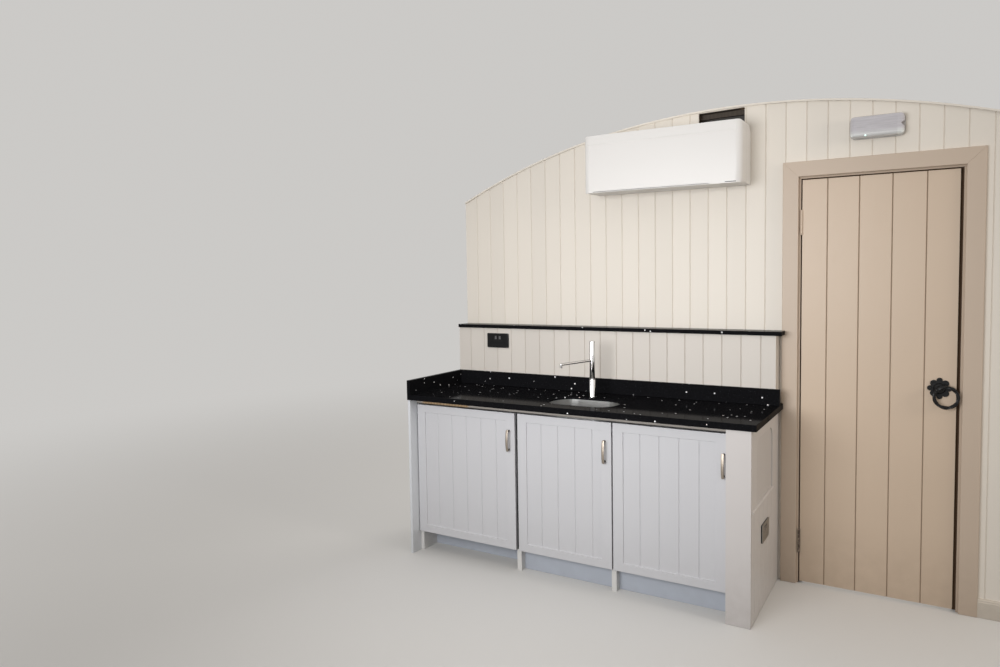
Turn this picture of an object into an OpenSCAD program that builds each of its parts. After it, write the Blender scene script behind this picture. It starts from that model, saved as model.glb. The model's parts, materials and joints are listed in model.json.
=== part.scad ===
// Arch-topped end wall of a timber hut, with its boarded door and a fitted kitchenette.
// Millimetres, +Z up. The origin is the middle of the wall's foot, halfway through its thickness.
// Inside the modules x runs right from the wall's left end, y into the wall from its
// boarded front face, and z up from the floor.

/* [Wall] */
// Length of the wall between the hut's two sides
wall_w = 3300; // [3100:10:3600]
// Height of the wall from the top of the door opening to the crown of its arch
over_door = 390; // [340:1:600]
// Radius of the arched top
arch_r = 3773; // [3000:1:5000]
// Thickness of the match boarding on each face
board_t = 12; // [9:1:20]
// Depth of the timber studs between the two skins
stud_d = 63; // [45:1:100]
// Width of a stud, the sole and the arched head rib
stud_w = 38; // [30:1:60]
// Covering width of one wall board
board_pitch = 94.4; // [70:0.1:140]
// Width of the first board at the left end
first_board = 82.8; // [20:0.1:94]
// Width of a V joint between boards
vee_w = 7; // [3:0.5:10]
// Depth of a V joint between boards
vee_d = 3.5; // [1:0.5:4]
// Size of the square bead under the arch
bead = 9; // [6:1:30]
// Height of the skirting boards
skirting_h = 84; // [50:1:150]
// Thickness of the skirting boards
skirting_t = 15; // [10:1:25]

/* [Door] */
// Distance from the wall's left end to the door opening
door_x = 1948; // [1900:1:2100]
// Width of the door leaf
leaf_w = 649; // [550:1:760]
// Height of the door leaf
leaf_h = 1981; // [1800:1:2000]
// Gap under the door leaf
floor_gap = 11; // [5:1:25]
// Gap beside the leaf at its hinges
hinge_gap = 6; // [5:0.5:10]
// Gap beside the leaf at its latch
latch_gap = 13; // [6:0.5:15]
// Gap over the leaf
top_gap = 6; // [5:0.5:10]
// Thickness of the leaf's boards
leaf_t = 22; // [18:1:30]
// Width of one board of the leaf
leaf_board = 137; // [90:1:180]
// Width of the leaf's first board, at its hinges
first_leaf_board = 112; // [60:1:137]
// Thickness of the ledges and braces behind the boards
ledge_t = 22; // [15:1:30]
// Width of a ledge
ledge_w = 120; // [80:1:180]
// Width of a brace
brace_w = 95; // [60:1:120]
// Thickness of the door lining
lining_t = 28; // [20:1:40]
// How far the stop stands out of the lining
stop_out = 15; // [12:1:20]
// Width of the architrave
architrave_w = 73; // [50:1:73]
// Thickness of the architrave
architrave_t = 18; // [12:1:25]
// Width of the lining's edge left showing beside the architrave
lining_margin = 9; // [3:1:15]

/* [Door fittings] */
// Distance from the leaf's top and foot to the middle of a hinge
hinge_in = 204; // [120:1:400]
// Height of a butt hinge
hinge_h = 120; // [75:1:150]
// Radius of a hinge knuckle
knuckle_r = 5.5; // [4:0.5:7]
// Radius of a hinge pin
pin_r = 3; // [2:0.25:3.5]
// Height of the ring handle's spindle above the floor
ring_z = 1016; // [900:1:1100]
// Distance of the spindle from the leaf's latch edge
ring_inset = 65; // [60:1:90]
// Outer radius of the ring
ring_r = 54; // [40:1:58]
// Radius of the ring's round bar
ring_bar = 7; // [4:0.5:8]
// Turn of the hanging ring away from straight down, as it is left
ring_turn = 36; // [0:1:60]

/* [Kitchenette] */
// Height of the worktop's upper face
top_h = 900; // [870:1:940]
// Thickness of the stone worktop
top_t = 30; // [20:1:40]
// Depth of the worktop from the wall
top_d = 628; // [560:1:680]
// Distance the worktop and shelves run past the architrave's edge
top_lap = 9; // [0:1:20]
// Height of the stone upstands
upstand_h = 80; // [50:1:120]
// Thickness of the stone upstands and the shelf
slab_t = 20; // [12:1:30]
// Depth of the boxing below the shelf
boxing_d = 93; // [60:1:150]
// Height of the shelf's upper face
shelf_z = 1261; // [1150:1:1400]
// Overhang of the shelf in front of the boxing
shelf_lip = 13; // [5:1:30]
// Distance of the cupboard doors behind the worktop's front edge
cup_setback = 68; // [20:1:90]
// Thickness of a cupboard door
cup_t = 20; // [18:1:25]
// Gap between the cupboard doors and the worktop
cup_top_gap = 33; // [10:1:50]
// Height of the cupboard doors' lower edge
cup_z = 113; // [80:1:160]
// Width of the middle cupboard door
cup_w2 = 520; // [450:1:560]
// Width of the right cupboard door
cup_w3 = 546; // [400:1:600]
// Thickness of the middle cabinet sides
side_t = 25; // [18:1:30]
// Thickness of the other cabinet boards
panel_t = 18; // [12:1:22]
// Width of the doors' stiles
stile = 52; // [35:1:70]
// Width of the doors' rails
rail = 42; // [35:1:70]
// Depth of the doors' boarded panel behind the stiles
recess = 6; // [3:1:9]
// Width of one board in a cupboard door's panel
cup_board = 94; // [60:1:120]
// Width of the first board in a cupboard door's panel
cup_first = 84; // [40:1:94]
// Distance of the end post and the left scribe behind the worktop's front edge
post_setback = 8; // [0:1:20]
// Width of the end post
post_w = 108; // [80:1:140]
// Width of the scribe at the left end
scribe_w = 15; // [12:1:50]

/* [Sink and tap] */
// Width of the sink's cut-out
sink_w = 372; // [300:1:420]
// Depth of the sink's cut-out, front to back
sink_d = 237; // [180:1:260]
// Corner radius of the sink
sink_r = 105; // [30:1:115]
// Depth of the bowl
bowl_h = 150; // [100:1:200]
// Thickness of the bowl's steel
steel_t = 1.5; // [1:0.5:3]
// Thickness of stone left over the bowl's rim, which is let into the worktop
sink_lip = 12; // [8:1:18]
// Distance of the sink's cut-out behind the front of the cabinets
sink_in = 9; // [9:1:60]
// Distance of the sink's cut-out from the cabinet side at its right
sink_side = 12; // [12:1:90]
// Height of the tap
tap_h = 300; // [200:1:320]
// Height of the spout
spout_z = 198; // [150:1:260]
// Reach of the spout
spout_l = 250; // [150:1:280]
// Turn of the spout away from straight out
spout_turn = 15; // [0:1:45]

/* [Wall fittings] */
// Width of the air conditioner
ac_w = 824; // [700:1:900]
// Height of the air conditioner
ac_h = 300; // [250:1:310]
// Depth of the air conditioner
ac_d = 200; // [150:1:250]
// Distance from the wall's left end to the air conditioner
ac_x = 889; // [850:1:950]
// Gap between the air conditioner's upper left corner and the bead under the arch
ac_gap = 18; // [5:1:60]
// Width of the emergency light
light_w = 228; // [180:1:300]
// Height of the emergency light
light_h = 102; // [60:1:120]

/* [Hidden] */
$fn = 48;
eps = 1;

cream = "#E9E1D3";
taupe = "#C8B59A";
grey_white = "#D8D5D2";
stone = "#1B1B1D";
pine = "#C9A777";
steel = "#B9BBBD";
iron = "#1A1A1A";
white = "#F1F1EF";

wall_t = stud_d + 2 * board_t;
opening_w = hinge_gap + leaf_w + latch_gap;
opening_h = floor_gap + leaf_h + top_gap;
door_end = door_x + opening_w;
leaf_x = door_x + hinge_gap;
leaf_end = leaf_x + leaf_w;
hinge_x = door_x + hinge_gap / 2;
hinge_y = -knuckle_r + 0.5;
hinge_zs = [floor_gap + hinge_in, floor_gap + leaf_h - hinge_in];
crown_h = opening_h + over_door;
arch_z = crown_h - arch_r;

// Height of the arch above the floor at x.
function arch_at(x) = arch_z + sqrt(arch_r * arch_r - (x - wall_w / 2) * (x - wall_w / 2));

arc_in_l = door_x - lining_margin;
arc_out_l = arc_in_l - architrave_w;
arc_in_r = door_end + lining_margin;
arc_out_r = arc_in_r + architrave_w;
arc_in_z = opening_h + lining_margin;
arc_out_z = arc_in_z + architrave_w;
stop_y = leaf_t + 2;
stop_w = 32;

top_z = top_h - top_t;
top_l = arc_out_l + top_lap;
boxing_l = arc_out_l - 13;
post_r = arc_out_l - 14;
post_l = post_r - post_w;
post_front = top_d - post_setback;
upstand_y = -boxing_d - slab_t;
cup_front = top_d - cup_setback;
cup_h = top_z - cup_top_gap - cup_z;
cup_gap = 5;
cup_x1 = scribe_w + cup_gap;
cup_x3 = post_l - cup_gap - 1 - cup_w3;
cup_x2 = cup_x3 - 7 - cup_w2;
cup_w1 = cup_x2 - 17 - cup_x1;
side_x1 = cup_x2 - 8.5 - side_t / 2;
side_x2 = cup_x3 - 3.5 - side_t / 2;
carcass_y = -cup_front + cup_t;
seat = 0.3;
base_z = cup_z + 3;
back_t = 6;
back_y = -12;
plinth_y = carcass_y + 40;
plinth_y1 = carcass_y + 124;
plinth_t = 16;
socket_x = 205;

sink_x = side_x2 - sink_side - sink_w / 2;
sink_y = carcass_y + sink_in + sink_d / 2;
sink_corner = min(sink_r, sink_d / 2 - 5);
reveal = 2;
flange = 5;
rebate = reveal + flange + 1;
rim_z = top_h - sink_lip;
tap_x = sink_x - 20;
tap_y = sink_y + sink_d / 2 + 32;
tap_r = 14;
tap_foot_r = 16;
shank_r = 15;
tap_foot_h = 100;

handle_l = 115;
handle_out = 30;
handle_bow = 8;
handle_w = 12;
handle_t = 5;
handle_foot_r = 5;
handle_drop = 85;
handle_in = 33;
right_handle_in = 17;

ac_seam = -ac_d + 95;
ac_t = 4;
ac_slope = 32;
vent_x = ac_x + 54;
vent_end = ac_x + ac_w - 157;
vent_d = 70;
vent_h = 6;
louvre_t = 3.5;

ac_z = min(arch_at(ac_x), arch_at(ac_x + ac_w)) - bead - ac_gap - ac_h;
ac_r = 16;
ac_front_r = 32;

light_x = door_x + 212;
light_z = (arc_out_z + arch_at(light_x + light_w) - bead) / 2 - light_h / 2 + 16;
light_d = 52;
light_base_d = 14;
light_r = 24;
light_t = 3;
notch_l = 18;
notch_h = 32;
cut_x = ac_x + ac_w - 264;
cut_w = 231;
cut_z = ac_z + ac_h - 50;
cut_in = 40;
cut_margin = 3;

ring_x = leaf_end - ring_inset;
ring_out = 34;

// Puts a piece drawn in wall coordinates into the model's frame.
module place() translate([-wall_w / 2, -wall_t / 2, 0]) children();

// A box between two corners.
module block(a, b) translate(a) cube([b[0] - a[0], b[1] - a[1], b[2] - a[2]]);

// The wall's outline under its arch, from x = a to x = b, thick from y = c to y = d.
module arch_slab(a, b, c, d, inset = 0) translate([0, d, 0]) rotate([90, 0, 0])
    linear_extrude(d - c) intersection() {
        translate([wall_w / 2, arch_z]) circle(r = arch_r - inset, $fn = 360);
        translate([a, 0]) square([b - a, crown_h]);
    }

// Plan of one boarded skin from x = a to x = b, with a V joint at each board's edge.
// It is board_t thick behind y = 0.
module boarding(a, b, first = first_board, pitch = board_pitch, t = board_t) difference() {
    translate([a, 0]) square([b - a, t]);
    for (i = [0 : ceil((b - first) / pitch)]) {
        x = first + i * pitch;
        if (x > a + vee_w && x < b - vee_w)
            polygon([[x - vee_w / 2, -eps / 100], [x + vee_w / 2, -eps / 100], [x, vee_d]]);
    }
}

// The front and the back skin between x = a and x = b, up to the arch.
module skins(a, b, low = 0) intersection() {
    translate([0, 0, low]) linear_extrude(crown_h - low) {
        boarding(a, b);
        translate([0, wall_t]) mirror([0, 1]) boarding(a, b);
    }
    arch_slab(a, b, -eps, wall_t + eps);
}

// The cut-out over the air conditioner from y0 back to y1, its top edge along the bead's chord.
module cut_out(y0, y1) translate([0, y1, 0]) rotate([90, 0, 0]) linear_extrude(y1 - y0) polygon([
    [cut_x, cut_z], [cut_x + cut_w, cut_z],
    [cut_x + cut_w, arch_at(cut_x + cut_w) - bead - cut_margin],
    [cut_x, arch_at(cut_x) - bead - cut_margin]]);

// Sole, studs, lintel and arched head rib; the rib is notched behind the cut-out in the boards.
module wall_frame() color(pine) place() difference() {
    timbers();
    cut_out(0, board_t + cut_in);
}

module timbers() {
    y0 = board_t;
    y1 = wall_t - board_t;
    left = door_x - lining_t;
    right = door_end + lining_t;
    lintel = opening_h + lining_t;
    union() {
        block([0, y0, 0], [left, y1, stud_w]);
        block([right, y0, 0], [wall_w, y1, stud_w]);
        intersection() {
            arch_slab(0, wall_w, y0, y1);
            union() {
                for (x = [0, 600, 1200, left - stud_w, right, wall_w - stud_w])
                    block([x, y0, 0], [x + stud_w, y1, crown_h]);
                for (x = [left + (right - left) / 3, left + (right - left) * 2 / 3])
                    block([x - stud_w / 2, y0, lintel], [x + stud_w / 2, y1, crown_h]);
                block([left - stud_w, y0, lintel], [right + stud_w, y1, lintel + stud_w]);
            }
        }
        difference() {
            arch_slab(0, wall_w, y0, y1);
            arch_slab(-eps, wall_w + eps, y0 - eps, y1 + eps, stud_w);
        }
    }
}

module wall_boards_left() color(cream) place() difference() {
    skins(0, door_x - lining_t);
    cut_out(-eps, board_t + eps / 10);
}

module wall_boards_over_door() color(cream) place()
    skins(door_x - lining_t, door_end + lining_t, opening_h + lining_t);

module wall_boards_right() color(cream) place() skins(door_end + lining_t, wall_w);

module arch_trim() color(cream) place() for (y = [-bead, wall_t]) difference() {
    arch_slab(0, wall_w, y, y + bead);
    arch_slab(-eps, wall_w + eps, y - eps, y + bead + eps, bead);
}

// A skirting board along x = a to x = b, its moulded face towards -y.
module skirting_board(a, b) translate([b, 0, 0]) rotate([90, 0, -90]) linear_extrude(b - a)
    polygon([[0, 0], [skirting_t, 0], [skirting_t, skirting_h - 14], [skirting_t - 3, skirting_h - 11],
        [skirting_t - 3, skirting_h - 6], [skirting_t - 8, skirting_h], [0, skirting_h]]);

module skirting() color(cream) place() {
    skirting_board(arc_out_r, wall_w);
    translate([wall_w, wall_t, 0]) rotate(180) skirting_board(wall_w - arc_out_l, wall_w);
    translate([wall_w, wall_t, 0]) rotate(180) skirting_board(0, wall_w - arc_out_r);
}

module side_jambs() color(taupe) place() {
    block([door_x - lining_t, 0, 0], [door_x, wall_t, opening_h]);
    block([door_x - eps, stop_y, 0], [door_x + stop_out, stop_y + stop_w, opening_h]);
    block([door_end, 0, 0], [door_end + lining_t, wall_t, opening_h]);
    block([door_end - stop_out, stop_y, 0], [door_end + eps, stop_y + stop_w, opening_h]);
}

module head_jamb() color(taupe) place() {
    block([door_x - lining_t, 0, opening_h], [door_end + lining_t, wall_t, opening_h + lining_t]);
    block([door_x + stop_out, stop_y, opening_h - stop_out],
        [door_end - stop_out, stop_y + stop_w, opening_h + eps]);
}

// Cross-section of the architrave: across its width in x, out of the wall in y.
module architrave_section() polygon([[0, 0], [architrave_w, 0], [architrave_w, architrave_t - 2],
    [architrave_w - 2, architrave_t], [2, architrave_t], [0, architrave_t - 2]]);

// An upright length of architrave, its inner edge at x = 0, mitred down towards that edge.
module upright() difference() {
    linear_extrude(arc_out_z) architrave_section();
    translate([0, -eps, arc_in_z]) rotate([90, 0, 0]) mirror([0, 0, 1])
        linear_extrude(architrave_t + 2 * eps)
            polygon([[-eps, -eps], [architrave_w + eps, architrave_w + eps], [-eps, architrave_w + eps]]);
}

// The mitred length over the door, its lower edge at z = 0, as long as l at that edge.
module head_piece(l) difference() {
    translate([l + architrave_w, 0, 0]) rotate([0, -90, 0]) linear_extrude(l + 2 * architrave_w)
        architrave_section();
    for (m = [0, 1]) translate([m * l, 0, 0]) mirror([m, 0, 0])
        translate([0, architrave_t + eps, 0]) rotate([90, 0, 0]) linear_extrude(architrave_t + 2 * eps)
            polygon([[eps, -eps], [-architrave_w - eps, architrave_w + eps],
                [-architrave_w - 2 * eps, -eps]]);
}

// Shows its children on the front face and again on the back face.
module both_faces() {
    mirror([0, 1, 0]) children();
    translate([0, wall_t, 0]) children();
}

module side_architraves() color(taupe) place() both_faces() {
    translate([arc_in_l, 0, 0]) mirror([1, 0, 0]) upright();
    translate([arc_in_r, 0, 0]) upright();
}

module head_architraves() color(taupe) place() both_faces()
    translate([arc_in_l, 0, arc_in_z]) head_piece(arc_in_r - arc_in_l);

module shelf_boxing() color(cream) place() {
    translate([0, -boxing_d, top_h]) linear_extrude(shelf_z - slab_t - top_h) boarding(0, boxing_l);
    block([boxing_l - board_t, -boxing_d + board_t, top_h], [boxing_l, 0, shelf_z - slab_t]);
}

module boxing_socket() color("#202022") place()
    block([socket_x, -boxing_d - 9, shelf_z - 136], [socket_x + 146, -boxing_d, shelf_z - 50]);

// Takes the architrave's thickness out of a slab that laps over its edge.
module round_architrave() difference() {
    children();
    block([arc_out_l, -architrave_t, 0], [arc_out_l + 100, eps, crown_h]);
}

module stone_shelf() color(stone) place() round_architrave()
    block([0, -boxing_d - shelf_lip, shelf_z - slab_t], [top_l + 6, 0, shelf_z]);

// A rectangle with round corners, centred.
module rounded(w, d, r) {
    square([w - 2 * r, d], center = true);
    square([w, d - 2 * r], center = true);
    for (x = [-1, 1], y = [-1, 1]) translate([x * (w / 2 - r), y * (d / 2 - r)]) circle(r = r);
}

module worktop() color(stone) place() difference() {
    round_architrave() block([0, -top_d, top_z], [top_l, 0, top_h]);
    translate([sink_x, sink_y, top_z - eps]) linear_extrude(top_t + 2 * eps)
        rounded(sink_w, sink_d, sink_corner);
    translate([sink_x, sink_y, top_z - eps]) linear_extrude(rim_z - top_z + eps)
        rounded(sink_w + 2 * rebate, sink_d + 2 * rebate, sink_corner + rebate);
    translate([tap_x, tap_y, top_z - eps]) cylinder(r = shank_r + 1, h = top_t + 2 * eps);
}

module back_upstand() color(stone) place()
    block([slab_t, upstand_y, top_h], [top_l, -boxing_d, top_h + upstand_h]);

module side_upstand() color(stone) place()
    block([0, -top_d, top_h], [slab_t, -boxing_d, top_h + upstand_h]);

module sink_bowl() color(steel) place() translate([sink_x, sink_y, rim_z - bowl_h]) {
    w = sink_w + 2 * reveal;
    d = sink_d + 2 * reveal;
    r = sink_corner + reveal;
    difference() {
        union() {
            linear_extrude(bowl_h) rounded(w + 2 * steel_t, d + 2 * steel_t, r + steel_t);
            translate([0, 0, bowl_h - steel_t]) linear_extrude(steel_t)
                rounded(w + 2 * flange, d + 2 * flange, r + flange);
        }
        translate([0, 0, steel_t]) linear_extrude(bowl_h) rounded(w, d, r);
        translate([0, 0, -eps]) cylinder(r = 30, h = 4 * eps);
    }
}

module sink_waste() color(steel) place() translate([sink_x, sink_y, rim_z - bowl_h]) difference() {
    union() {
        translate([0, 0, steel_t]) cylinder(r = 42, h = 2);
        translate([0, 0, -70]) cylinder(r = 20, h = 71);
        translate([0, 0, -6]) cylinder(r = 29.5, h = 8);
    }
    translate([0, 0, -2]) cylinder(r = 26, h = 10);
    translate([0, 0, -80]) cylinder(r = 18, h = 90);
}

module tap_body() color(steel) place() translate([tap_x, tap_y, top_h]) {
    cylinder(r = tap_foot_r + 2, h = 6);
    cylinder(r = tap_foot_r, h = tap_foot_h);
    translate([0, 0, -top_t - 14]) cylinder(r = shank_r, h = top_t + 14);
    translate([0, 0, -top_t - 10]) cylinder(r = shank_r + 5, h = 10, $fn = 6);
}

module tap_spout() color(steel) place()
    translate([tap_x, tap_y, top_h]) rotate(-spout_turn) {
        translate([0, 0, tap_foot_h + seat]) cylinder(r = tap_r, h = tap_h - tap_foot_h - seat);
        translate([0, 0, spout_z]) rotate([90, 0, 0]) cylinder(r = 6, h = spout_l);
        translate([0, -spout_l, spout_z]) sphere(r = 6);
        translate([0, -spout_l, spout_z - 18]) cylinder(r = 6, h = 18);
    }

module cabinet_sides() color(white) place() {
    block([scribe_w, carcass_y, 0], [scribe_w + panel_t, 0, top_z]);
    block([side_x1, carcass_y, 0], [side_x1 + side_t, 0, top_z]);
    block([side_x2, carcass_y, 0], [side_x2 + side_t, 0, top_z]);
    block([post_l - panel_t, carcass_y, 0], [post_l, 0, top_z]);
}

// Shows its children once for each cupboard, as $a and $b, the inner faces of its sides.
module each_cupboard() for (c = [[scribe_w + panel_t, side_x1], [side_x1 + side_t, side_x2],
    [side_x2 + side_t, post_l - panel_t]]) {
    $a = c[0];
    $b = c[1];
    children();
}

module cabinet_bottoms() color(white) place() each_cupboard()
    block([$a, carcass_y, base_z], [$b, back_y - back_t, base_z + panel_t]);

module cabinet_backs() color(white) place() each_cupboard()
    block([$a, back_y - back_t, base_z], [$b, back_y, top_z]);

// One strip closes the gap over the doors; its back meets the cabinets' front edges.
module cabinet_fascia() color(pine) place()
    block([scribe_w, -cup_front + 4, top_z - cup_top_gap + 6], [post_l, carcass_y, top_z]);

module plinths() color(grey_white) place() {
    block([scribe_w + panel_t, plinth_y1, 0], [side_x1, plinth_y1 + plinth_t, base_z]);
    block([side_x1 + side_t, plinth_y, 0], [side_x2, plinth_y + plinth_t, base_z]);
    block([side_x2 + side_t, plinth_y, 0], [post_l - panel_t, plinth_y + plinth_t, base_z]);
}

module left_scribe() color(grey_white) place()
    block([0, -post_front, 0], [scribe_w, carcass_y, top_z]);

module end_post() color(grey_white) place() {
    block([post_l, -post_front, 0], [post_r, -post_front + panel_t, top_z]);
    block([post_l, -post_front + panel_t - eps, 0], [post_l + panel_t, carcass_y, top_z]);
}

// A recess with round upper corners over a boarded lower half, parted by a small moulding.
module end_panel() color(grey_white) place() {
    t = 22;
    y0 = -post_front + panel_t;
    head_r = 60;
    mid = 500;
    a = -post_front + 112;
    b = -155;
    head_z = top_z - 58;
    difference() {
        block([post_r - t, y0, 0], [post_r, 0, top_z]);
        translate([post_r - recess, 0, 0]) rotate([90, 0, 90]) linear_extrude(recess + eps) {
            translate([a, mid + 14]) square([b - a, head_z - head_r - mid - 14]);
            translate([a + head_r, head_z - head_r - eps]) square([b - a - 2 * head_r, head_r + eps]);
            for (y = [a + head_r, b - head_r]) translate([y, head_z - head_r]) circle(r = head_r);
        }
        for (y = [y0 + 58 : cup_board : b + 30]) translate([post_r, y, 40])
            linear_extrude(mid - 50) vee();
    }
    translate([0, b + 16, mid]) rotate([90, 0, 0]) linear_extrude(b - a + 100)
        polygon([[post_r - eps, 0], [post_r + 2, 0], [post_r + 5, 3], [post_r + 5, 8], [post_r + 2, 12],
            [post_r - eps, 12]]);
}

// Section of a V joint cut into a face that looks towards +x.
module vee() polygon([[eps / 100, -vee_w / 2], [eps / 100, vee_w / 2], [-vee_d, 0]]);

module socket_plate() color(steel) place()
    block([post_r, -413, 312], [post_r + 8, -267, 398]);

// A framed door of width w with a boarded panel, its front at y = 0, its lower left corner at x = 0.
module cupboard_door(w) difference() {
    block([0, 0, 0], [w, cup_t - seat, cup_h]);
    block([stile, -eps, rail], [w - stile, recess, cup_h - rail]);
    for (x = [stile + cup_first : cup_board : w - stile - 20]) translate([x, recess, rail])
        linear_extrude(cup_h - 2 * rail)
            polygon([[-vee_w / 2, -eps / 100], [vee_w / 2, -eps / 100], [0, vee_d]]);
}

// An arched strap on two round feet, standing out of y = 0 towards -y, its middle at z = 0.
module bow_handle() {
    bow_r = (handle_l * handle_l / 4 + handle_bow * handle_bow) / (2 * handle_bow);
    for (z = [-1, 1]) translate([0, 0, z * (handle_l / 2 - 8)]) rotate([90, 0, 0])
        cylinder(r = handle_foot_r, h = handle_out - handle_bow);
    intersection() {
        translate([-handle_w / 2, bow_r - handle_out, 0]) rotate([0, 90, 0]) difference() {
            cylinder(r = bow_r, h = handle_w);
            translate([0, 0, -eps]) cylinder(r = bow_r - handle_t, h = handle_w + 2 * eps);
        }
        rotate([90, 0, 0]) linear_extrude(handle_out + eps) rounded(handle_w, handle_l, handle_w / 2 - 0.5);
    }
}

// Puts a handle on the cupboard door at x that is w wide, in from its right edge.
module at_handle(x, w, in) translate([x + w - in, -cup_front, cup_z + cup_h - handle_drop - handle_l / 2])
    children();

module left_cupboard_door() color(grey_white) place()
    translate([cup_x1, -cup_front, cup_z]) cupboard_door(cup_w1);
module middle_cupboard_door() color(grey_white) place()
    translate([cup_x2, -cup_front, cup_z]) cupboard_door(cup_w2);
module right_cupboard_door() color(grey_white) place()
    translate([cup_x3, -cup_front, cup_z]) cupboard_door(cup_w3);
module left_cupboard_handle() color(steel) place() at_handle(cup_x1, cup_w1, handle_in)
    bow_handle();
module middle_cupboard_handle() color(steel) place() at_handle(cup_x2, cup_w2, handle_in)
    bow_handle();
module right_cupboard_handle() color(steel) place() at_handle(cup_x3, cup_w3, right_handle_in)
    bow_handle();

module door_boards() color(taupe) place() difference() {
    translate([leaf_x, 0, floor_gap]) linear_extrude(leaf_h)
        boarding(0, leaf_w, first_leaf_board, leaf_board, leaf_t);
    for (z = hinge_zs)
        block([leaf_x - eps, -eps, z - hinge_h / 2 - 0.5],
            [leaf_x + 0.1, leaf_t + eps, z + hinge_h / 2 + 0.5]);
}

// Three ledges across the back of the boards and two braces rising from the hinge side.
module door_ledges() color(taupe) place() {
    a = leaf_x + 30;
    b = leaf_end - 30;
    zs = [floor_gap + 150, floor_gap + leaf_h / 2 - ledge_w / 2, floor_gap + leaf_h - 150 - ledge_w];
    y0 = leaf_t;
    y1 = leaf_t + ledge_t;
    union() {
        for (z = zs) block([a, y0, z], [b, y1, z + ledge_w]);
        for (i = [0, 1]) translate([0, y1, 0]) rotate([90, 0, 0]) linear_extrude(ledge_t)
            polygon([[a + 10, zs[i] + ledge_w - eps], [a + 10 + brace_w, zs[i] + ledge_w - eps],
                [b - 10, zs[i + 1] + eps], [b - 10 - brace_w, zs[i + 1] + eps]]);
    }
}

// One hinge's knuckles with indices ks out of five, and the strip that joins them to their leaf.
module hinge_half(ks, side, bore) {
    k = hinge_h / 5;
    gap = 0.25;
    leaf = hinge_gap / 2 - 0.6;
    for (i = ks) translate([0, 0, -hinge_h / 2 + i * k + gap]) difference() {
        union() {
            cylinder(r = knuckle_r, h = k - 2 * gap);
            block([side > 0 ? 0.6 : -hinge_gap / 2, 0, 0],
                [side > 0 ? hinge_gap / 2 : -0.6, -hinge_y + 3, k - 2 * gap]);
        }
        if (bore) translate([0, 0, -eps]) cylinder(r = pin_r + 0.05, h = k + 2 * eps);
    }
    block([side > 0 ? hinge_gap / 2 - leaf : -hinge_gap / 2, -hinge_y + 1, -hinge_h / 2 + gap],
        [side > 0 ? hinge_gap / 2 : -hinge_gap / 2 + leaf, -hinge_y + leaf_t - 2, hinge_h / 2 - gap]);
}

module at_hinges() for (z = hinge_zs) translate([hinge_x, hinge_y, z]) children();

module frame_hinge_leaves() color(steel) place() at_hinges() {
    hinge_half([0, 2, 4], -1, false);
    translate([0, 0, -hinge_h / 2 + 0.25]) cylinder(r = pin_r, h = hinge_h - 0.5);
}

module door_hinge_leaves() color(steel) place() at_hinges() hinge_half([1, 3], 1, true);

// Outline of the rose: four broad lobes on the diagonals and four small ones for the screws.
module rose_outline() difference() {
    union() {
        circle(r = 34);
        for (i = [0 : 3]) rotate(i * 90 + 45) translate([31.5, 0]) circle(r = 15);
        for (i = [0 : 3]) rotate(i * 90) translate([36.5, 0]) circle(r = 12);
    }
    for (i = [0 : 3]) rotate(i * 90) translate([38.5, 0]) circle(r = 2.5);
}

module ring_rose() color(iron) place() translate([ring_x, 0, ring_z]) rotate([90, 0, 0]) difference() {
    union() {
        linear_extrude(4) rose_outline();
        translate([0, 0, 4]) cylinder(r1 = 25, r2 = 19, h = 9);
    }
    translate([0, 0, 4]) cylinder(r = 12 + seat, h = 20);
}

module ring_handle() color(iron) place() translate([ring_x, 0, ring_z]) rotate([0, -ring_turn, 0]) {
    rotate([90, 0, 0]) translate([0, 0, 4 + seat]) cylinder(r = 12, h = ring_out - 4 - seat);
    translate([0, -ring_out, -ring_r + 10]) rotate([90, 0, 0]) rotate_extrude($fn = 72)
        translate([ring_r - ring_bar, 0]) circle(r = ring_bar, $fn = 24);
}

// The air conditioner's rounded block from y0 back to y1, shrunk by inset.
module ac_block(y0, y1, inset) intersection() {
    translate([ac_x + ac_w / 2, y1, ac_z + ac_h / 2]) rotate([90, 0, 0]) linear_extrude(y1 - y0)
        rounded(ac_w - 2 * inset, ac_h - 2 * inset, ac_r - inset / 2);
    translate([ac_x + ac_w / 2, -ac_d + inset + 300, ac_z]) linear_extrude(ac_h)
        rounded(ac_w - 2 * inset, 600, ac_front_r - inset);
}

// The front cover is a tray with rounded corners; a shadow line marks off its upper strip.
// The air outlet is cut along its lower front edge.
module ac_front_cover() color(white) place() difference() {
    ac_block(-ac_d, ac_seam, 0);
    ac_block(-ac_d + ac_t, ac_seam + eps, ac_t);
    block([ac_x + 12, -ac_d - eps, ac_z + ac_h - 49], [ac_x + ac_w - 12, -ac_d + 1.5, ac_z + ac_h - 47]);
    block([vent_x, -ac_d - eps, ac_z - eps], [vent_end, -ac_d + vent_d, ac_z + vent_h]);
}

// The casing behind the cover, shrunk by inset; its top slopes down towards the wall.
module ac_case(inset, front) translate([ac_x + 4 + inset, 0, ac_z]) rotate([90, 0, 90])
    linear_extrude(ac_w - 8 - 2 * inset) polygon([[front, 4 + inset], [-inset, 4 + inset],
        [-inset, ac_h - 6 - ac_slope - inset], [-ac_slope - inset / 2, ac_h - 6 - inset],
        [front, ac_h - 6 - inset]]);

// A shell with the bars of the air inlet along its top.
module ac_housing() color(white) place() difference() {
    ac_case(0, ac_seam);
    ac_case(ac_t, ac_seam - eps);
    for (x = [ac_x + 40 : 54 : ac_x + ac_w - 90])
        block([x, ac_seam + 14, ac_z + ac_h - 8], [x + 46, -ac_slope - 12, ac_z + ac_h]);
}

// The closed flap in the outlet, with a slot left over its front edge.
module ac_louvre() color(white) place()
    block([vent_x + seat, -ac_d, ac_z], [vent_end - seat, -ac_d + vent_d - seat, ac_z + louvre_t]);

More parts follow.
